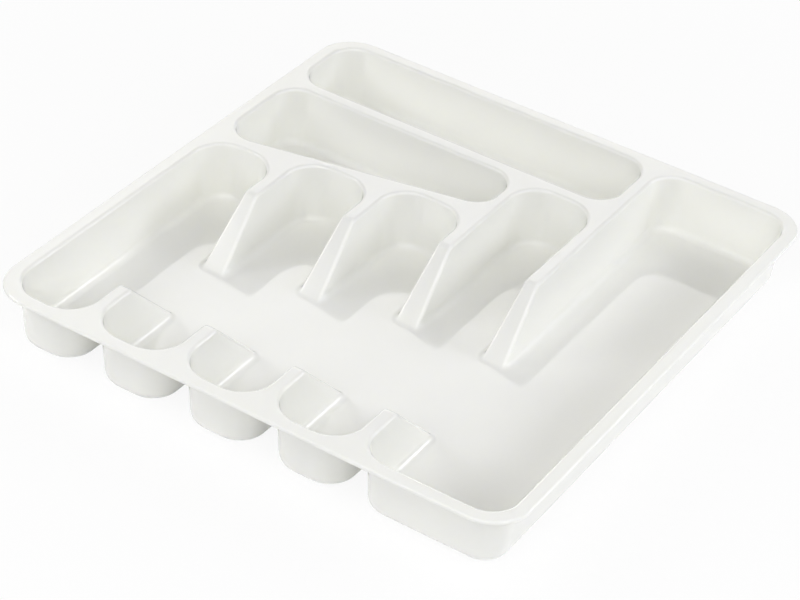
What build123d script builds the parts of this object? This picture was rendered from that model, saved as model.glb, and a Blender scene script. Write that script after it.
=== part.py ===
from build123d import *
import math
import os

# A cutlery tray for a kitchen drawer: one thin-walled moulding in glossy white plastic.
# Five columns run back from the lobed front edge, and two compartments lie across the tray
# behind them. The dividers are hollow ridges, open from below. Those between the columns
# end on ramps, so that the columns share one open floor in the middle.
# X runs along the front edge, Y from the front edge to the back, and Z up.
# The origin is at the centre of the flat underside. All lengths are in millimetres.

# Overall sizes
tray_width = 460.0
tray_depth = 490.0
tray_height = 53.0

# The moulding: its wall, the slope of its side walls, and its roundings on the inside
wall = 2.0
draft_angle = 5.0
foot_radius = 7.0
edge_radius = 3.0
overrun = 5.0

# The rim, a flat band that ends in a lip turned down
rim_band = 12.0
rim_corner_radius = 33.5
rim_edge_radius = 1.5
lip_drop = 3.5

# The columns from the left. The last one is wide and takes the width that is left.
narrow_column_widths = (65.0, 68.0, 68.0, 68.0)
divider_width = 12.0
column_radius = 27.0
wide_column_radius = 23.5

# The compartment along the back and the wall in front of it
back_compartment_depth = 76.0
back_compartment_radius = 23.5
cross_wall_width = 13.0

# The wedge-shaped compartment in front of that wall, and the divider on its right
wedge_radius = 22.0
wedge_divider_width = 10.0

# The ramps that end the dividers
ramp_angle = 45.0
crest_radius = 8.0

# Places between the front wall and the cross wall, as shares of the way from one to the other:
# where the first three columns end, where the two front corners of the wedge lie, and the crests
# of the dividers, where their flat tops stop
column_end_shares = (0.711, 0.769, 0.81)
wedge_left_share = 0.734
wedge_right_share = 0.865
front_crest_share = 0.1326
rear_crest_shares = (0.589, 0.642, 0.69, 0.69)

# The most of a side that the rounding of one corner may take
corner_share = 0.45

# Worked out from the sizes above
left = -tray_width / 2
front = -tray_depth / 2
inner_left = left + rim_band
inner_right = -inner_left
inner_front = front + rim_band
inner_back = -inner_front
floor_top = wall
cross_wall_back = inner_back - back_compartment_depth
cross_wall_front = cross_wall_back - cross_wall_width
divider_count = len(narrow_column_widths)
column_lefts = [inner_left]
for narrow_width in narrow_column_widths:
    column_lefts.append(column_lefts[-1] + narrow_width + divider_width)
column_rights = [next_left - divider_width for next_left in column_lefts[1:]]
column_rights.append(inner_right)
column_run = cross_wall_front - inner_front
column_backs = [inner_front + share * column_run for share in column_end_shares]
column_backs.append(cross_wall_front)
column_backs.append(inner_back)
wedge_left_front = inner_front + wedge_left_share * column_run
wedge_right_front = inner_front + wedge_right_share * column_run
wedge_right = column_lefts[divider_count - 1] - wedge_divider_width
front_crest = inner_front + front_crest_share * column_run
rear_crests = [inner_front + share * column_run for share in rear_crest_shares]
gap_reach = tray_height * math.tan(math.radians(draft_angle)) + wall + foot_radius + overrun


def rounded(corners, radius):
    """A flat outline through these corners, each rounded, with less rounding beside a short side."""
    outline = make_face(Polyline(*corners, close=True))
    for index, corner in enumerate(corners):
        sides = [math.dist(corner, corners[index - turn]) for turn in (1, len(corners) - 1)]
        vertex = outline.vertices().sort_by_distance(Vector(*corner))[0]
        outline = fillet(vertex, min(radius, corner_share * min(sides)))
    return outline


def rectangle(x0, y0, x1, y1):
    """The corners of a rectangle, counter-clockwise from its front left one."""
    return [(x0, y0), (x1, y0), (x1, y1), (x0, y1)]


def column_mouth(index):
    """The outline of one column at the height of the rim."""
    corners = rectangle(column_lefts[index], inner_front, column_rights[index], column_backs[index])
    return rounded(corners, column_radius if index < divider_count else wide_column_radius)


def back_mouth():
    """The outline of the compartment along the back, as wide as the narrow columns together."""
    corners = rectangle(inner_left, cross_wall_back, column_rights[divider_count - 1], inner_back)
    return rounded(corners, back_compartment_radius)


def wedge_mouth():
    """The outline of the wedge-shaped compartment, whose own front wall runs askew."""
    corners = [
        (inner_left, wedge_left_front),
        (wedge_right, wedge_right_front),
        (wedge_right, cross_wall_front),
        (inner_left, cross_wall_front),
    ]
    return rounded(corners, wedge_radius)


def cup(mouth, skin):
    """The hollow under a mouth, whose sides draw in towards the floor by the draft angle.
    With a skin it is the outside of the wall round that hollow, and its foot is rounded."""
    slope = math.radians(draft_angle)
    top = tray_height if skin else tray_height + overrun
    growth = skin / math.cos(slope) + (top - tray_height) * math.tan(slope)
    body = extrude(Pos(0, 0, top) * offset(mouth, growth), floor_top - skin - top, taper=draft_angle)
    if skin:
        underside = body.faces().sort_by(Axis.Z)[0]
        body = fillet(underside.edges(), foot_radius + skin)
    return body


def ramp(crest, direction, skin):
    """One ramp as edges in Y and Z, and the two ends of that line: an arc over the crest, the
    slope down along the given direction of Y and, with a skin, the arc at its foot."""
    slope = math.radians(ramp_angle)
    top_radius = crest_radius - skin
    bottom_radius = foot_radius + skin if skin else 0
    top_z = tray_height - crest_radius
    bottom_z = floor_top - skin + bottom_radius
    fall = top_z - bottom_z + (top_radius + bottom_radius) * math.cos(slope)
    run = (top_radius + bottom_radius) * math.sin(slope) + fall / math.tan(slope)
    foot = crest + direction * run
    over = []
    under = []
    for turn in (0, slope / 2, slope):
        across, up = direction * math.sin(turn), math.cos(turn)
        over.append((crest + top_radius * across, top_z + top_radius * up))
        under.append((foot - bottom_radius * across, bottom_z - bottom_radius * up))
    edges = [ThreePointArc(*over), Line(over[-1], under[-1])]
    if skin:
        edges.append(ThreePointArc(*under))
    return edges, over[0], under[0]


def gap(index, skin):
    """The space between the two ends of one divider, reaching past the feet of the columns
    beside it. With a skin it is the outside of the wall round that space."""
    top = tray_height if skin else tray_height + overrun
    falling, front_top, front_foot = ramp(front_crest, 1, skin)
    rising, rear_top, rear_foot = ramp(rear_crests[index], -1, skin)
    lid = Polyline(rear_top, (rear_top[0], top), (front_top[0], top), front_top)
    profile = make_face([*falling, Line(front_foot, rear_foot), *rising, lid])
    start = column_rights[index] - gap_reach
    return extrude(Plane.YZ.offset(start) * profile, divider_width + 2 * gap_reach)


def hollows(skin):
    """Every space that the tray holds open or, with a skin, the outside of the walls round them."""
    cups = [cup(column_mouth(index), skin) for index in range(divider_count + 1)]
    cups.append(cup(back_mouth(), skin))
    cups.append(cup(wedge_mouth(), skin))
    gaps = [gap(index, skin) for index in range(divider_count)]
    return cups[0].fuse(*cups[1:], *gaps)


def hollowed_block():
    """A block with the hollows sunk into its top. A rounding runs round each mouth and down the
    edges of the ramps, and another round the floors, so both flow round the divider ends."""
    size = Rectangle(tray_width + overrun, tray_depth + overrun)
    block = extrude(Pos(0, 0, tray_height) * size, -tray_height - overrun) - hollows(0)
    top = block.faces().filter_by(Axis.Z).group_by(Axis.Z)[-1]
    block = fillet(top[0].inner_wires().edges(), edge_radius)
    floors = block.faces().filter_by(Axis.Z).group_by(Axis.Z)[1]
    return fillet(floors.edges(), foot_radius)


def rim():
    """The flat band over the whole tray, with its lip and the rounding over its outer edge."""
    outline = Pos(0, 0, tray_height) * RectangleRounded(tray_width, tray_depth, rim_corner_radius)
    lip = outline - offset(outline, -wall)
    band = extrude(outline, -wall) + extrude(lip, -lip_drop)
    top = band.faces().sort_by(Axis.Z)[-1]
    return fillet(top.outer_wire().edges(), rim_edge_radius)


def tray():
    """The moulding: the rim and the outside of the walls, less what the block leaves open."""
    return hollowed_block() & (rim() + hollows(wall))


os.makedirs("parts", exist_ok=True)
export_step(tray(), "parts/tray.step")
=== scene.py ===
"""The studio scene of a moulded cutlery tray: its glossy white skin, a pale floor and soft light."""

import math

import bpy
import numpy as np
from mathutils import Matrix, Vector
from mathutils.geometry import delaunay_2d_cdt


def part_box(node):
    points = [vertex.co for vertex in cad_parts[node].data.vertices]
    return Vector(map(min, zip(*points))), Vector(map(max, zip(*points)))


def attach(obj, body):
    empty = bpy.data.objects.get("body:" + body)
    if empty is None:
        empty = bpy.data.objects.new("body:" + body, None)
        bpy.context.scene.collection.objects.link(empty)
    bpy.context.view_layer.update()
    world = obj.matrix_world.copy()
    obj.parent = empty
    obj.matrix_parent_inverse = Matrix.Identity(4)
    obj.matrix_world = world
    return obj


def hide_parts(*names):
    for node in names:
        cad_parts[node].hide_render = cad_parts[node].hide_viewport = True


bl_info = {
    "name": "Cutlery Tray",
    "version": (1, 0, 0),
    "blender": (4, 5, 0),
    "location": "View3D > Sidebar > Tray",
    "description": "Builds a moulded cutlery tray and a pale studio round it",
    "category": "Add Mesh",
}

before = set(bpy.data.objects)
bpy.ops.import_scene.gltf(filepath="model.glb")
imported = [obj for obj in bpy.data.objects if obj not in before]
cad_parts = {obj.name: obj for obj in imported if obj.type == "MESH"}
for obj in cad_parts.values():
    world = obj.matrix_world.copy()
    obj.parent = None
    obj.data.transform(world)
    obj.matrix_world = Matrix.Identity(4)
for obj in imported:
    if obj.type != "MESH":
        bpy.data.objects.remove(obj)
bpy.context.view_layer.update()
TRAY_LOW, TRAY_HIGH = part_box("tray")

# Points nearer than this are one point of the mesh. The keys that tell points apart are shifted by
# a part of a step, so that round coordinates never lie between two keys.
MERGE = 0.000005
KEY_SHIFT = 1 / 3
# Two points of a flat face's outline that are this near are one
OUTLINE_MERGE = MERGE / 10
# Rows of points down a ramp's side edge, with both ends
SLOPE_ROWS = 3
# Narrow columns of one width, on the right of the first
LIKE_COLUMNS = 3
UP = np.array((0.0, 0.0, 1.0))

# Noise patterns in the plastic: cells a metre, detail, and the noise's own range where one is cut out
FLOW_CELLS, FLOW_DETAIL, FLOW_RANGE = 7.0, 3.0, (0.35, 0.7)
UNEVEN_CELLS, UNEVEN_DETAIL, UNEVEN_RANGE = 55.0, 3.0, (0.3, 0.7)
SCUFF_CELLS, SCUFF_DETAIL, SCUFF_RANGE = 14.0, 4.0, (0.62, 0.74)
WAVE_CELLS, WAVE_DETAIL = 24.0, 1.0
GRAIN_CELLS, GRAIN_DETAIL = 900.0, 2.0
# Scuffs are stretched along the columns, and their noise has more of its fine part than usual
SCUFF_STRETCH = (60.0, 2.5, 60.0)
SCUFF_FINENESS = 0.65
# Least and most roughness as shares of the finish's own, and what a scuff adds to it
UNEVEN_SHARES = (0.85, 1.2)
SCUFF_ROUGHNESS = 0.04
# How strongly the waves and the grain show, and how high they are in metres
WAVE_STRENGTH, WAVE_HEIGHT = 0.2, 0.0004
GRAIN_STRENGTH, GRAIN_HEIGHT = 0.06, 0.00002
# The plastic's refractive index, the part of its light that spreads inside, and how far each
# colour of it spreads, as shares of the glow depth
PLASTIC_IOR = 1.5
GLOW_WEIGHT = 0.6
GLOW_REACH = (1.0, 1.0, 0.9)

# The floor's roughness and how much it shines
FLOOR_ROUGHNESS = 0.7
FLOOR_SHINE = 0.2
WHITE = (1.0, 1.0, 1.0, 1.0)
# The camera's sensor in millimetres, and the nearest and farthest places that it sees in metres
SENSOR_WIDTH = 36.0
CLIP_RANGE = (0.1, 50.0)
# The middle of a lamp, whose own coordinates run from nought to one
LAMP_MIDDLE = 0.5
# Each lamp: name, azimuth and elevation in degrees, distance and size in metres, the property of
# its strength, and its colour
LAMPS = (
    ("back_lamp", 213.0, 26.0, 1.9, (2.0, 1.6), "back_power", (1.0, 0.99, 0.95)),
    ("right_lamp", 122.0, 24.0, 1.6, (1.2, 0.8), "right_power", (0.955, 0.965, 1.0)),
    ("side_lamp", 70.0, 35.0, 1.8, (1.4, 1.0), "side_power", (0.965, 0.975, 1.0)),
    ("front_lamp", 5.0, 35.0, 1.8, (2.4, 1.2), "front_power", (0.98, 0.985, 1.0)),
    ("top_lamp", 29.0, 62.0, 1.8, (1.6, 1.6), "top_power", (1.0, 0.99, 0.965)),
    ("left_lamp", 300.0, 30.0, 1.6, (1.2, 1.0), "left_power", (1.0, 1.0, 1.0)),
)


def length(name, description, default):
    """A property for a length in metres."""
    return bpy.props.FloatProperty(
        name=name, description=description, unit="LENGTH", precision=4, min=0.0, default=default
    )


def share(name, description, default):
    """A property for a share, from nought to one."""
    return bpy.props.FloatProperty(
        name=name, description=description, subtype="FACTOR", min=0.0, max=1.0, precision=4, default=default
    )


def degrees(name, description, default):
    """A property for an angle, with its default in degrees."""
    return bpy.props.FloatProperty(
        name=name, description=description, subtype="ANGLE", default=math.radians(default)
    )


def tint(name, description, default):
    """A property for a colour."""
    return bpy.props.FloatVectorProperty(
        name=name, description=description, subtype="COLOR", size=3, min=0.0, max=1.0, default=default
    )


def count(name, description, default):
    """A property for the number of steps that a curve is cut into."""
    return bpy.props.IntProperty(name=name, description=description, min=2, default=default)


def power(name, description, default):
    """A property for a lamp's strength in watts."""
    return bpy.props.FloatProperty(
        name=name, description=description, unit="POWER", min=0.0, default=default
    )


class TrayShape(bpy.types.PropertyGroup):
    """The sizes of the moulding. Its width, depth and height come from the tray in model.glb."""

    wall: length("Wall", "Thickness of the moulded skin", 0.002)
    draft: degrees("Draft", "Slope of the side walls", 5.0)
    foot_radius: length("Foot radius", "Rounding between the walls and the floors", 0.007)
    edge_radius: length("Edge radius", "Rounding over the mouths and down the ramps", 0.003)
    rim_band: length("Rim band", "Width of the flat band round the tray", 0.012)
    rim_corner: length("Rim corner", "Radius of the tray's corners from above", 0.0335)
    rim_edge: length("Rim edge", "Rounding over the band's outer edge", 0.0015)
    lip_drop: length("Lip", "Height of the lip with the band", 0.0035)
    lip_round: length("Lip rounding", "Rounding of the lip's lower edges", 0.0005)
    first_column: length("First column", "Width of the column on the left", 0.065)
    other_column: length("Narrow column", "Width of the next three columns", 0.068)
    divider: length("Divider", "Width of a divider at the top", 0.012)
    column_radius: length("Column corner", "Radius of a narrow column's corners", 0.027)
    wide_radius: length("Wide corner", "Radius of the wide column's corners", 0.0235)
    back_depth: length("Back depth", "Depth of the compartment along the back", 0.076)
    back_radius: length("Back corner", "Radius of that compartment's corners", 0.0235)
    cross_wall: length("Cross wall", "Width of the wall before that compartment", 0.013)
    wedge_radius: length("Wedge corner", "Radius of the wedge's corners", 0.022)
    wedge_divider: length("Wedge divider", "Width of the divider beside the wedge", 0.010)
    ramp: degrees("Ramp", "Slope of the divider ends", 45.0)
    crest_radius: length("Crest radius", "Rounding over the top of a ramp", 0.008)
    first_end: share("First end", "Where the first column ends", 0.711)
    second_end: share("Second end", "Where the second column ends", 0.769)
    third_end: share("Third end", "Where the third column ends", 0.81)
    wedge_left: share("Wedge left", "Where the wedge begins on the left", 0.734)
    wedge_right: share("Wedge right", "Where the wedge begins on the right", 0.865)
    front_crest: share("Front crest", "Where the dividers' front ends begin to fall", 0.1326)
    first_crest: share("First crest", "Where the first divider's rear end begins to fall", 0.589)
    second_crest: share("Second crest", "Where the second divider's rear end begins to fall", 0.642)
    last_crests: share("Last crests", "Where the last two dividers' rear ends begin to fall", 0.69)
    corner_steps: count("Corner steps", "Steps round a corner of an outline", 20)
    edge_steps: count("Edge steps", "Steps over a mouth's rounding", 8)
    foot_steps: count("Foot steps", "Steps over a foot's rounding", 12)


class TrayFinish(bpy.types.PropertyGroup):
    """The colour and gloss of the moulded plastic."""

    colour: tint("Colour", "Colour of the plastic", (0.94, 0.94, 0.892))
    flow_colour: tint(
        "Flow colour", "Colour of the faint marks where the melt has flowed", (0.925, 0.926, 0.878)
    )
    roughness: share("Roughness", "How dull the moulded surface is", 0.05)
    glow_depth: length("Glow depth", "How far light spreads inside the plastic", 0.003)


class StudioLook(bpy.types.PropertyGroup):
    """The camera, the lamps and the floor."""

    azimuth: degrees("Azimuth", "Turn of the camera from the tray's front towards its right side", 29.086)
    elevation: degrees("Elevation", "Height of the camera above the horizon", 35.937)
    roll: degrees("Roll", "Turn of the camera about its own line of sight", 5.933)
    distance: length("Distance", "From the camera to the point that it looks at", 2.04487)
    target: bpy.props.FloatVectorProperty(
        name="Target", description="The point that the camera looks at",
        unit="LENGTH", size=3, default=(0.00566, -0.02595, 0.0236),
    )
    lens: bpy.props.FloatProperty(
        name="Lens", description="Focal length for a sensor 36 mm wide", unit="CAMERA", default=117.4
    )
    floor_colour: tint("Floor", "Colour of the floor", (0.95, 0.95, 0.95))
    floor_white: share("Floor white", "How much of the visible floor is plain white beside the tray", 0.9)
    floor_reach: length("Floor reach", "From the middle of the floor to its edges", 8.0)
    white_from: length("White from", "Where the floor begins to turn wholly white, from its middle", 0.4)
    white_at: length("White at", "Where the floor is wholly white, from its middle", 1.1)
    ambient: bpy.props.FloatProperty(
        name="Ambient", description="Light from all round", min=0.0, default=0.02
    )
    back_power: power("Back lamp", "Strength of the lamp that the floors mirror", 19.0)
    right_power: power("Right lamp", "Strength of the lamp on the right, towards the back", 22.0)
    side_power: power("Side lamp", "Strength of the lamp on the right, towards the front", 14.5)
    front_power: power("Front lamp", "Strength of the lamp in front", 22.0)
    top_power: power("Top lamp", "Strength of the lamp above the camera", 19.0)
    left_power: power("Left lamp", "Strength of the lamp on the left", 18.0)
    lamp_softness: share("Lamp softness", "How far a lamp's light fades in from its edges", 0.35)


def turned(start, end, shares):
    """Unit vectors that turn evenly from start to end: the two are weighted by the sines of the
    parts of their angle w, sin((1 - s) w) / sin(w) and sin(s w) / sin(w). The shares s make a new
    axis before the last one."""
    start, end = np.broadcast_arrays(start, end)
    angle = np.arccos((start * end).sum(-1))[..., None]
    first = np.sin((1 - shares) * angle) / np.sin(angle)
    last = np.sin(shares * angle) / np.sin(angle)
    return first[..., None] * start[..., None, :] + last[..., None] * end[..., None, :]


def bearing(angles):
    """Level unit vectors at these angles: cosine, sine and no height."""
    return np.stack([np.cos(angles), np.sin(angles), np.zeros_like(angles)], -1)


class Skin:
    """The moulding's points, normals and faces, gathered patch by patch and then joined."""

    def __init__(self, wall):
        self.wall = wall
        self.points = []
        self.normals = []
        self.quads = []
        self.triangles = []
        self.count = 0

    def add(self, points, normals, faces, kept):
        """Adds points with faces that are turned, if need be, to look along the normals."""
        corners = points[faces]
        across = np.cross(corners[:, 1] - corners[:, 0], corners[:, 2] - corners[:, 1])
        if (across * normals[faces[:, 0]]).sum() < 0:
            faces = faces[:, ::-1]
        kept.append(faces + self.count)
        self.points.append(points)
        self.normals.append(normals)
        self.count += len(points)

    def grid(self, points, normals, both=True):
        """A patch of rows and columns. Its underside is the same grid, moved by the wall
        against the normals, so that the skin is equally thick everywhere."""
        rows, columns = points.shape[:2]
        index = np.arange(rows * columns).reshape(rows, columns)
        faces = np.stack([index[:-1, :-1], index[:-1, 1:], index[1:, 1:], index[1:, :-1]], -1).reshape(-1, 4)
        flat, facing = points.reshape(-1, 3), normals.reshape(-1, 3)
        self.add(flat, facing, faces, self.quads)
        if both:
            self.add(flat - self.wall * facing, -facing, faces, self.quads)

    def flat(self, loops, height, normal):
        """A level face inside the first loop and outside the others, cut into triangles."""
        outline = [Vector(point) for loop in loops for point in loop[:, :2]]
        edges, start = [], 0
        for loop in loops:
            index = np.arange(len(loop))
            edges += np.stack([start + index, start + (index + 1) % len(loop)], -1).tolist()
            start += len(loop)
        places, _, faces, *_ = delaunay_2d_cdt(outline, edges, [], 1, OUTLINE_MERGE)
        places = np.array(places)
        faces = np.array(faces)
        inside = within(loops, places[faces].mean(1))
        points = np.column_stack([places, np.full(len(places), height)])
        self.add(points, np.tile(normal, (len(points), 1)), faces[inside], self.triangles)

    def mesh(self, name):
        """One closed mesh with the exact normals. Points in one place become one point, quads with
        two corners in one place become triangles, and every edge has to lie between two faces."""
        points = np.concatenate(self.points)
        keys = np.floor(points / MERGE + KEY_SHIFT).astype(np.int64)
        _, first, merged = np.unique(keys, axis=0, return_index=True, return_inverse=True)
        merged = merged.reshape(-1)
        quads = merged[np.concatenate(self.quads)]
        same = quads == np.roll(quads, -1, axis=1)
        pinched = same.any(1)
        turn = (same[pinched].argmax(1)[:, None] + np.arange(1, 4)) % 4
        triangles = [np.take_along_axis(quads[pinched], turn, 1), merged[np.concatenate(self.triangles)]]
        triangles = np.concatenate(triangles)
        quads = quads[~pinched]
        sides = [np.sort(np.stack([faces, np.roll(faces, -1, axis=1)], -1).reshape(-1, 2), axis=1)
                 for faces in (quads, triangles)]
        _, uses = np.unique(np.concatenate(sides), axis=0, return_counts=True)
        if (uses != 2).any():
            raise RuntimeError(f"{name}: {(uses != 2).sum()} edges aren't between two faces")
        mesh = bpy.data.meshes.new(name)
        mesh.from_pydata(points[first].tolist(), [], quads.tolist() + triangles.tolist())
        mesh.shade_smooth()
        mesh.normals_split_custom_set_from_vertices(np.concatenate(self.normals)[first].tolist())
        return mesh


def within(loops, places):
    """Whether each place lies inside the loops: a ray along X crosses them an odd number of times."""
    odd = np.zeros(len(places), bool)
    for loop in loops:
        start, end = loop[:, :2], np.roll(loop[:, :2], -1, axis=0)
        x, y = places[:, :1], places[:, 1:]
        spans = (start[:, 1] > y) != (end[:, 1] > y)
        rise = np.where(spans, end[:, 1] - start[:, 1], 1.0)
        reach = start[:, 0] + (y - start[:, 1]) / rise * (end[:, 0] - start[:, 0])
        odd ^= (spans & (x < reach)).sum(1) % 2 == 1
    return odd


class Wall:
    """The profile of a side wall: a rounding at the mouth, the drafted wall and a rounding at the
    foot, as seen from a point of the mouth's outline and along its outward direction."""

    def __init__(self, shape):
        self.height = TRAY_HIGH.z
        self.floor = shape.wall
        self.edge, self.foot = shape.edge_radius, shape.foot_radius
        self.cos, self.tan = math.cos(shape.draft), math.tan(shape.draft)
        self.sin = math.sin(shape.draft)
        self.mouth_shares = np.linspace(1, 0, shape.edge_steps + 1)
        self.foot_shares = np.linspace(0, 1, shape.foot_steps + 1)

    def facing(self, outward):
        """The wall's own normals, which lean up by the draft."""
        return UP * self.sin - outward * self.cos

    def edge_centres(self, mouth, outward, height):
        """Where the ball that rounds the mouth has its centre: its radius behind the wall."""
        out = self.edge / self.cos - (self.height - height) * self.tan
        return mouth + outward * out + UP * height

    def foot_centres(self, mouth, outward):
        """Where the ball that rounds the foot has its centre: its radius before the wall."""
        height = self.floor + self.foot
        inset = (self.height - height) * self.tan + self.foot / self.cos
        return mouth - outward * inset + UP * height

    def foot_rows(self, mouth, outward):
        """Points and normals of the rounding at the foot, from the wall to the floor."""
        outward = np.broadcast_to(outward, mouth.shape)
        inward = turned(-self.facing(outward), -UP, self.foot_shares)
        return self.foot_centres(mouth, outward)[..., None, :] + self.foot * inward, -inward

    def mouth_rows(self, centres, side, top):
        """Points and normals of the rounding at the mouth, from the top to the wall."""
        normals = turned(side, top, self.mouth_shares)
        return centres[..., None, :] + self.edge * normals, normals

    def sheet(self, mouth, outward):
        """The whole profile at each of these points of a level mouth."""
        side = self.facing(outward)
        centres = self.edge_centres(mouth, outward, self.height - self.edge)
        upper = self.mouth_rows(centres, side, UP)
        lower = self.foot_rows(mouth, outward)
        return [np.concatenate(pair, 1) for pair in zip(upper, lower)]


class Leg:
    """One side edge of a ramp, from the crest to the floor. The ball that rounds the edge runs over
    an arc round the crest and down the slope, and the ball that rounds the foot goes round it."""

    def __init__(self, wall, shape, side_x, facing, crest, direction):
        outward = np.array((facing, 0.0, 0.0))
        side = wall.facing(outward)
        arc = shape.crest_radius - wall.edge
        angles = np.linspace(0, shape.ramp, shape.edge_steps + 1)
        y = crest + direction * arc * np.sin(angles)
        z = wall.height - shape.crest_radius + arc * np.cos(angles)
        tops = np.stack([0 * angles, direction * np.sin(angles), np.cos(angles)], -1)
        mouth = np.stack([0 * y + side_x, y, 0 * y], -1)
        centres = wall.edge_centres(mouth, outward, z[:, None])
        over, over_normals = wall.mouth_rows(centres, side, tops)
        normals = turned(side, tops[-1], wall.mouth_shares)
        fall = z[-1] + (wall.edge + wall.foot) * normals[:, 2] - wall.floor - wall.foot
        fall = np.linspace(0, 1, SLOPE_ROWS)[1:, None] * fall
        down = np.stack([0 * fall + side_x, y[-1] + direction * fall / math.tan(shape.ramp), 0 * fall], -1)
        down = wall.edge_centres(down, outward, (z[-1] - fall)[..., None])
        upper = np.concatenate([over, down + wall.edge * normals])
        upper_normals = np.concatenate([over_normals, np.tile(normals, (len(down), 1, 1))])
        mouth = np.stack([0 * upper[:, -1, 1] + side_x, upper[:, -1, 1], 0 * upper[:, -1, 1]], -1)
        lower, lower_normals = wall.foot_rows(mouth, outward)
        self.points = np.concatenate([upper, lower], 1)
        self.normals = np.concatenate([upper_normals, lower_normals], 1)
        inward = turned(-normals, -UP, wall.foot_shares)
        self.corner = (down[-1] + (wall.edge + wall.foot) * normals)[:, None] + wall.foot * inward
        self.corner_normals = -inward
        self.edge = np.concatenate([upper[:, 0], self.corner[0, 1:]])
        self.edge_normals = np.concatenate([upper_normals[:, 0], self.corner_normals[0, 1:]])


def rounded_outline(corners, radius, steps):
    """Points and outward directions round a closed outline: an arc of the radius at each corner,
    whose centre lies on the corner's bisector, radius / sin(half the corner) from it."""
    corners = np.array(corners)
    before = np.roll(corners, 1, axis=0) - corners
    after = np.roll(corners, -1, axis=0) - corners
    before /= np.linalg.norm(before, axis=1)[:, None]
    after /= np.linalg.norm(after, axis=1)[:, None]
    middle = before + after
    middle /= np.linalg.norm(middle, axis=1)[:, None]
    half = np.arccos((middle * after).sum(1))
    centres = corners + middle * (radius / np.sin(half))[:, None]
    aim = np.arctan2(-middle[:, 1], -middle[:, 0])
    angles = aim[:, None] + (math.pi / 2 - half)[:, None] * np.linspace(-1, 1, steps + 1)
    outward = bearing(angles)
    centres = np.column_stack([centres, np.zeros(len(centres))])
    return (centres[:, None] + radius * outward).reshape(-1, 3), outward.reshape(-1, 3)


def closed(rows):
    """The same rows with the first one once more at the end."""
    return np.concatenate([rows, rows[:1]])


def add_pocket(skin, wall, corners, radius, steps):
    """A compartment with a mouth of its own. Returns the outlines of its mouth and its floor."""
    points, normals = wall.sheet(*rounded_outline(corners, radius, steps))
    skin.grid(closed(points), closed(normals))
    return points[:, 0], points[:, -1]


def add_columns(skin, wall, shape, place):
    """The five columns with the space between them. The outline runs round all of them, with the
    void on its left, and falls down a ramp wherever a divider ends. Returns the outlines of the
    mouth and of the floor."""
    last = len(place["lefts"]) - 1
    fronts = [("FL", "FR", index) for index in range(1, last)]
    rears = [("RR", "RL", index) for index in range(last - 1, 0, -1)]
    runs = [("RR", "RL", "FL", "FR", 0), *fronts, ("FL", "FR", "RR", "RL", last), *rears]
    mouth, floor, legs = [], [], []
    for *names, index in runs:
        points, outward = column_run(shape, place, names, index)
        upper, normals = wall.sheet(points, outward)
        first = ramp_leg(wall, shape, place, names[0], index)
        final = ramp_leg(wall, shape, place, names[-1], index)
        skin.grid(
            np.concatenate([first.points[:0:-1], upper, final.points[1:]]),
            np.concatenate([first.normals[:0:-1], normals, final.normals[1:]]),
        )
        for leg in (first, final):
            skin.grid(leg.corner, leg.corner_normals)
        legs += [first, final]
        mouth.append(upper[:, 0])
        floor += [first.corner[:, -1], first.points[-2:0:-1, -1], upper[:, -1], final.points[1:-1, -1]]
        floor.append(final.corner[::-1, -1])
    for one, other in zip(legs[1::2], legs[2::2] + legs[:1]):
        skin.grid(np.stack([one.edge, other.edge]), np.stack([one.edge_normals, other.edge_normals]))
    return np.concatenate(mouth), np.concatenate(floor)


def column_run(shape, place, names, index):
    """The mouth's outline at one column, between the crests of the ramps beside it."""
    left, right = place["lefts"][index], place["rights"][index]
    front, back = place["front"], place["ends"][index]
    radius = shape.wide_radius if index == len(place["lefts"]) - 1 else shape.column_radius
    corners = {"FL": (left, front), "FR": (right, front), "RR": (right, back), "RL": (left, back)}
    points, outward = rounded_outline(list(corners.values()), radius, shape.corner_steps)
    size = shape.corner_steps + 1
    order = [list(corners).index(name) for name in names]
    points = points.reshape(len(corners), size, 3)[order].reshape(-1, 3)
    outward = outward.reshape(len(corners), size, 3)[order].reshape(-1, 3)
    starts = [crest_point(place, name, index) for name in (names[0], names[-1])]
    points = np.concatenate([starts[:1], points, starts[1:]])
    outward = np.concatenate([outward[:1], outward, outward[-1:]])
    return points, outward


def crest_point(place, name, index):
    """The point on a column's side where its divider's flat top stops."""
    on_left = name.endswith("L")
    x = place["lefts"][index] if on_left else place["rights"][index]
    y = place["front_crest"] if name.startswith("F") else place["crests"][index - on_left]
    return np.array((x, y, 0.0))


def ramp_leg(wall, shape, place, name, index):
    """The side edge of the ramp that starts at that point."""
    x, y, _ = crest_point(place, name, index)
    return Leg(wall, shape, x, -1.0 if name.endswith("L") else 1.0, y, 1.0 if name.startswith("F") else -1.0)


def layout(shape):
    """Where everything lies, from left to right and from front to back."""
    left, front = TRAY_LOW.x + shape.rim_band, TRAY_LOW.y + shape.rim_band
    right, back = TRAY_HIGH.x - shape.rim_band, TRAY_HIGH.y - shape.rim_band
    widths = [shape.first_column] + [shape.other_column] * LIKE_COLUMNS
    lefts = [left + sum(widths[:index]) + index * shape.divider for index in range(len(widths) + 1)]
    rights = [start + width for start, width in zip(lefts, widths)] + [right]
    cross_back = back - shape.back_depth
    cross_front = cross_back - shape.cross_wall
    run = cross_front - front
    ends = [front + run * part for part in (shape.first_end, shape.second_end, shape.third_end)]
    crests = [front + run * part for part in (shape.first_crest, shape.second_crest, shape.last_crests)]
    wedge_end = lefts[-2] - shape.wedge_divider
    return {
        "front": front, "lefts": lefts, "rights": rights, "ends": [*ends, cross_front, back],
        "front_crest": front + run * shape.front_crest, "crests": [*crests, crests[-1]],
        "back": [(left, cross_back), (rights[-2], cross_back), (rights[-2], back), (left, back)],
        "wedge": [(left, front + run * shape.wedge_left), (wedge_end, front + run * shape.wedge_right),
                  (wedge_end, cross_front), (left, cross_front)],
    }


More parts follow.
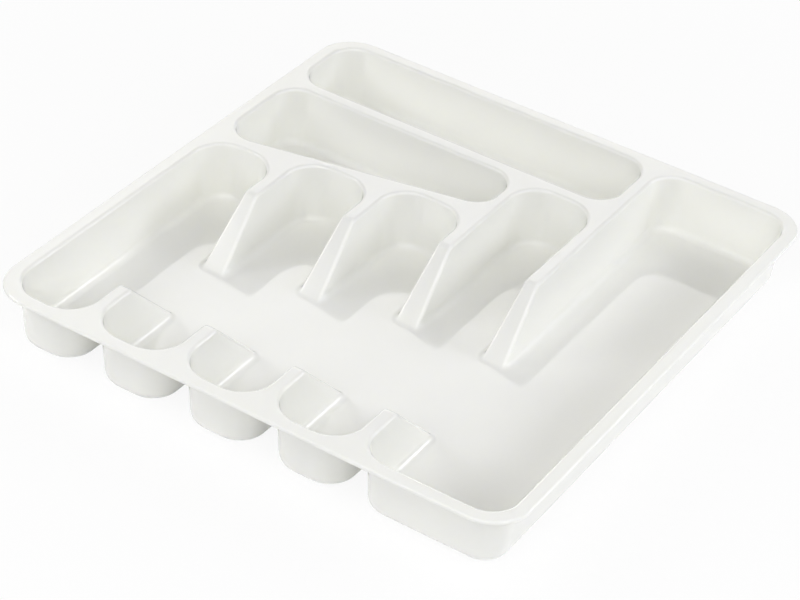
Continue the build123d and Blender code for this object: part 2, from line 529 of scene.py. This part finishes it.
def add_rim(skin, shape):
    """The band's outer edge and the lip below it: a profile of arcs and straight lines, carried
    round the tray's outline. Returns the outlines of the band's top and of its underside."""
    corners = [(TRAY_LOW.x, TRAY_LOW.y), (TRAY_HIGH.x, TRAY_LOW.y),
               (TRAY_HIGH.x, TRAY_HIGH.y), (TRAY_LOW.x, TRAY_HIGH.y)]
    outline, outward = rounded_outline(corners, shape.rim_corner, shape.corner_steps)
    top, bottom = TRAY_HIGH.z, TRAY_HIGH.z - shape.lip_drop
    edge, small, wall = shape.rim_edge, shape.lip_round, shape.wall
    # Each arc: how far its centre lies outside the outline, its height, its radius, which is
    # negative for a hollow, and the angles in degrees where it starts and ends
    arcs = [
        (-edge, top - edge, edge, 90, 0),
        (-small, bottom + small, small, 0, -90),
        (small - wall, bottom + small, small, -90, -180),
        (-wall - small, top - wall - small, -small, 180, 270),
    ]
    points, normals = [], []
    for out, height, radius, start, end in arcs:
        angles = np.radians(np.linspace(start, end, shape.edge_steps + 1))[:, None, None]
        facing = np.cos(angles) * outward + np.sin(angles) * UP
        points.append(outline + out * outward + height * UP + radius * facing)
        normals.append(facing)
    points, normals = np.concatenate(points), np.concatenate(normals)
    round_points = np.concatenate([points, points[:, :1]], 1)
    round_normals = np.concatenate([normals, normals[:, :1]], 1)
    skin.grid(round_points, round_normals, both=False)
    return points[0], points[-1]


def tray_mesh(shape):
    """The whole moulding as one closed skin of even thickness."""
    skin, wall, place = Skin(shape.wall), Wall(shape), layout(shape)
    pockets = [
        add_columns(skin, wall, shape, place),
        add_pocket(skin, wall, place["back"], shape.back_radius, shape.corner_steps),
        add_pocket(skin, wall, place["wedge"], shape.wedge_radius, shape.corner_steps),
    ]
    band, under = add_rim(skin, shape)
    mouths = [mouth for mouth, _ in pockets]
    skin.flat([band, *mouths], TRAY_HIGH.z, UP)
    skin.flat([under, *mouths], TRAY_HIGH.z - shape.wall, -UP)
    for _, floor in pockets:
        skin.flat([floor], shape.wall, UP)
        skin.flat([floor], 0.0, -UP)
    return skin.mesh("moulded_tray")


class Graph:
    """A short way to add nodes to a material, a lamp or a world and to join them."""

    def __init__(self, owner):
        owner.use_nodes = True
        self.tree = owner.node_tree
        self.nodes = self.tree.nodes

    def add(self, kind, values=None, **settings):
        """A node with these settings. A value that is a socket is linked, and any other is set."""
        node = self.nodes.new(kind)
        for name, value in settings.items():
            setattr(node, name, value)
        for key, value in (values or {}).items():
            self.put(node.inputs[key], value)
        return node

    def put(self, socket, value):
        """Links a socket to another one, or sets its value."""
        if isinstance(value, bpy.types.NodeSocket):
            self.tree.links.new(value, socket)
        else:
            socket.default_value = value

    def noise(self, place, cells, detail, fineness=0.5):
        """Noise of so many cells a metre. The fineness is how strong its fine part is."""
        values = {"Vector": place, "Scale": cells, "Detail": detail, "Roughness": fineness}
        return self.add("ShaderNodeTexNoise", values).outputs["Fac"]

    def ranged(self, value, start, end, low, high):
        """A value moved from one range to another and kept in it."""
        values = {"Value": value, "From Min": start, "From Max": end, "To Min": low, "To Max": high}
        return self.add("ShaderNodeMapRange", values).outputs["Result"]

    def faded(self, value, end):
        """A smooth rise from nought to one, while the value goes from nought to this end."""
        values = {"Value": value, "From Min": 0.0, "From Max": end, "To Min": 0.0, "To Max": 1.0}
        return self.add("ShaderNodeMapRange", values, interpolation_type="SMOOTHSTEP").outputs["Result"]

    def bump(self, height, strength, distance):
        """A relief that is this high in metres at most, and shows this strongly."""
        return self.add("ShaderNodeBump", {"Height": height, "Strength": strength, "Distance": distance})

    def maths(self, operation, first, second):
        """Two values joined by an operation."""
        return self.add("ShaderNodeMath", {0: first, 1: second}, operation=operation).outputs[0]


def gloss_plastic(settings):
    """Glossy moulded plastic that light enters a little. Its colour has faint marks of flow, its
    gloss is a little uneven, with fine scuffs along the columns, and its surface waves slightly."""
    material = bpy.data.materials.new("gloss_plastic")
    graph = Graph(material)
    shader = graph.nodes["Principled BSDF"]
    place = graph.add("ShaderNodeTexCoord").outputs["Object"]
    along = graph.add("ShaderNodeMapping", {"Vector": place, "Scale": SCUFF_STRETCH}).outputs[0]

    flow = graph.ranged(graph.noise(place, FLOW_CELLS, FLOW_DETAIL), *FLOW_RANGE, 0.0, 1.0)
    colour = graph.add("ShaderNodeMix", data_type="RGBA")
    graph.put(colour.inputs["Factor"], flow)
    graph.put(colour.inputs["A"], (*settings.colour, 1.0))
    graph.put(colour.inputs["B"], (*settings.flow_colour, 1.0))
    graph.put(shader.inputs["Base Color"], colour.outputs["Result"])

    least, most = (settings.roughness * part for part in UNEVEN_SHARES)
    uneven = graph.ranged(graph.noise(place, UNEVEN_CELLS, UNEVEN_DETAIL), *UNEVEN_RANGE, least, most)
    scuffs = graph.noise(along, SCUFF_CELLS, SCUFF_DETAIL, SCUFF_FINENESS)
    scuffs = graph.ranged(scuffs, *SCUFF_RANGE, 0.0, SCUFF_ROUGHNESS)
    graph.put(shader.inputs["Roughness"], graph.maths("ADD", uneven, scuffs))

    waves = graph.bump(graph.noise(place, WAVE_CELLS, WAVE_DETAIL), WAVE_STRENGTH, WAVE_HEIGHT)
    grain = graph.bump(graph.noise(place, GRAIN_CELLS, GRAIN_DETAIL), GRAIN_STRENGTH, GRAIN_HEIGHT)
    graph.put(grain.inputs["Normal"], waves.outputs[0])
    graph.put(shader.inputs["Normal"], grain.outputs[0])
    shader.inputs["IOR"].default_value = PLASTIC_IOR
    shader.inputs["Subsurface Weight"].default_value = GLOW_WEIGHT
    shader.inputs["Subsurface Radius"].default_value = GLOW_REACH
    shader.inputs["Subsurface Scale"].default_value = settings.glow_depth
    return material


class CUTLERY_OT_tray(bpy.types.Operator):
    """Makes the moulding: rim, columns, dividers with their ramps, and the two compartments"""

    bl_idname = "cutlery.tray"
    bl_label = "Moulded tray"

    def execute(self, context):
        piece = bpy.data.objects.new("moulded_tray", tray_mesh(context.scene.tray_shape))
        context.scene.collection.objects.link(piece)
        piece.data.materials.append(gloss_plastic(context.scene.tray_finish))
        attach(piece, "root")
        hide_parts("tray")
        return {"FINISHED"}


def direction(azimuth, elevation):
    """The unit vector from the tray to a place at this azimuth, which is nought in front of the
    tray and grows towards its right side, and this elevation."""
    level = math.cos(elevation)
    return Vector((math.sin(azimuth) * level, -math.cos(azimuth) * level, math.sin(elevation)))


def lamp(name, azimuth, elevation, distance, size, strength, colour):
    """A rectangular soft lamp, turned to the tray. Its light fades in from its edges: for each of
    its two directions it grows with the way inward from the nearer edge, and the two are multiplied."""
    light = bpy.data.lights.new(name, "AREA")
    light.shape = "RECTANGLE"
    light.size, light.size_y = size
    light.energy = strength
    light.color = colour
    graph = Graph(light)
    across = graph.add("ShaderNodeNewGeometry").outputs["Parametric"]
    sides = graph.add("ShaderNodeSeparateXYZ", {0: across}).outputs
    softness = bpy.context.scene.studio_look.lamp_softness
    inward = [graph.maths("PINGPONG", sides[axis], LAMP_MIDDLE) for axis in (0, 1)]
    fades = [graph.faded(way, softness) for way in inward]
    graph.put(graph.nodes["Emission"].inputs["Strength"], graph.maths("MULTIPLY", *fades))
    obj = bpy.data.objects.new(name, light)
    towards = direction(math.radians(azimuth), math.radians(elevation))
    obj.location = towards * distance
    obj.rotation_euler = (-towards).to_track_quat("-Z", "Y").to_euler()
    obj.visible_camera = False
    bpy.context.scene.collection.objects.link(obj)


def seen_ray(graph):
    """One for rays that see the background: straight from the camera, off gloss or through glass."""
    path = graph.add("ShaderNodeLightPath").outputs
    seen = graph.maths("MAXIMUM", path["Is Camera Ray"], path["Is Glossy Ray"])
    return graph.maths("MAXIMUM", seen, path["Is Transmission Ray"])


def make_floor(scene, look):
    """A wide pale floor. What shows of it is partly plain white, and wholly white far from the tray."""
    signs = ((-1, -1), (1, -1), (1, 1), (-1, 1))
    corners = [(x * look.floor_reach, y * look.floor_reach, 0) for x, y in signs]
    mesh = bpy.data.meshes.new("floor")
    mesh.from_pydata(corners, [], [tuple(range(len(corners)))])
    floor = bpy.data.objects.new("floor", mesh)
    scene.collection.objects.link(floor)
    paint = bpy.data.materials.new("floor_paint")
    graph = Graph(paint)
    shader = graph.nodes["Principled BSDF"]
    shader.inputs["Base Color"].default_value = (*look.floor_colour, 1)
    shader.inputs["Roughness"].default_value = FLOOR_ROUGHNESS
    shader.inputs["Specular IOR Level"].default_value = FLOOR_SHINE
    place = graph.add("ShaderNodeTexCoord").outputs["Object"]
    away = graph.add("ShaderNodeVectorMath", {0: place}, operation="LENGTH").outputs["Value"]
    white = graph.ranged(away, look.white_from, look.white_at, look.floor_white, 1.0)
    glow = graph.add("ShaderNodeEmission").outputs[0]
    part = graph.maths("MULTIPLY", white, seen_ray(graph))
    mix = graph.add("ShaderNodeMixShader", {0: part, 1: shader.outputs[0], 2: glow})
    graph.put(graph.nodes["Material Output"].inputs["Surface"], mix.outputs[0])
    mesh.materials.append(paint)


def make_world(scene, look):
    """Even white light from all round, with a plain white background where it shows."""
    world = bpy.data.worlds.new("studio")
    scene.world = world
    graph = Graph(world)
    shown = graph.nodes["Background"]
    shown.inputs["Color"].default_value = WHITE
    ambient = graph.add("ShaderNodeBackground", {"Color": WHITE, "Strength": look.ambient})
    mix = graph.add("ShaderNodeMixShader", {0: seen_ray(graph), 1: ambient.outputs[0], 2: shown.outputs[0]})
    graph.put(graph.nodes["World Output"].inputs["Surface"], mix.outputs[0])


def make_camera(scene, look):
    """The camera stands on its line of sight, and its up side is turned about that line."""
    back = direction(look.azimuth, look.elevation)
    right = Vector(UP).cross(back).normalized()
    up = back.cross(right)
    x = math.cos(look.roll) * right + math.sin(look.roll) * up
    y = back.cross(x)
    camera = bpy.data.cameras.new("camera")
    camera.lens, camera.sensor_width = look.lens, SENSOR_WIDTH
    camera.clip_start, camera.clip_end = CLIP_RANGE
    eye = bpy.data.objects.new("camera", camera)
    place = Vector(look.target) + back * look.distance
    eye.matrix_world = Matrix.Translation(place) @ Matrix((x, y, back)).transposed().to_4x4()
    scene.collection.objects.link(eye)
    scene.camera = eye


class CUTLERY_OT_stage(bpy.types.Operator):
    """Lays the floor, hangs the lamps and places the camera"""

    bl_idname = "cutlery.stage"
    bl_label = "Studio"

    def execute(self, context):
        scene, look = context.scene, context.scene.studio_look
        make_floor(scene, look)
        make_world(scene, look)
        for name, azimuth, elevation, distance, size, strength, colour in LAMPS:
            lamp(name, azimuth, elevation, distance, size, getattr(look, strength), colour)
        make_camera(scene, look)
        scene.view_settings.view_transform = "Standard"
        return {"FINISHED"}


class CUTLERY_PT_panel(bpy.types.Panel):
    """Lists the steps that build the scene"""

    bl_label = "Cutlery tray"
    bl_space_type = "VIEW_3D"
    bl_region_type = "UI"
    bl_category = "Tray"

    def draw(self, context):
        for operator in (CUTLERY_OT_tray, CUTLERY_OT_stage):
            self.layout.operator(operator.bl_idname)


CLASSES = (TrayShape, TrayFinish, StudioLook, CUTLERY_OT_tray, CUTLERY_OT_stage, CUTLERY_PT_panel)


def register():
    for cls in CLASSES:
        bpy.utils.register_class(cls)
    bpy.types.Scene.tray_shape = bpy.props.PointerProperty(type=TrayShape)
    bpy.types.Scene.tray_finish = bpy.props.PointerProperty(type=TrayFinish)
    bpy.types.Scene.studio_look = bpy.props.PointerProperty(type=StudioLook)


def unregister():
    del bpy.types.Scene.studio_look
    del bpy.types.Scene.tray_finish
    del bpy.types.Scene.tray_shape
    for cls in reversed(CLASSES):
        bpy.utils.unregister_class(cls)


def main():
    register()
    bpy.ops.cutlery.tray()
    bpy.ops.cutlery.stage()


if __name__ == "__main__":
    main()
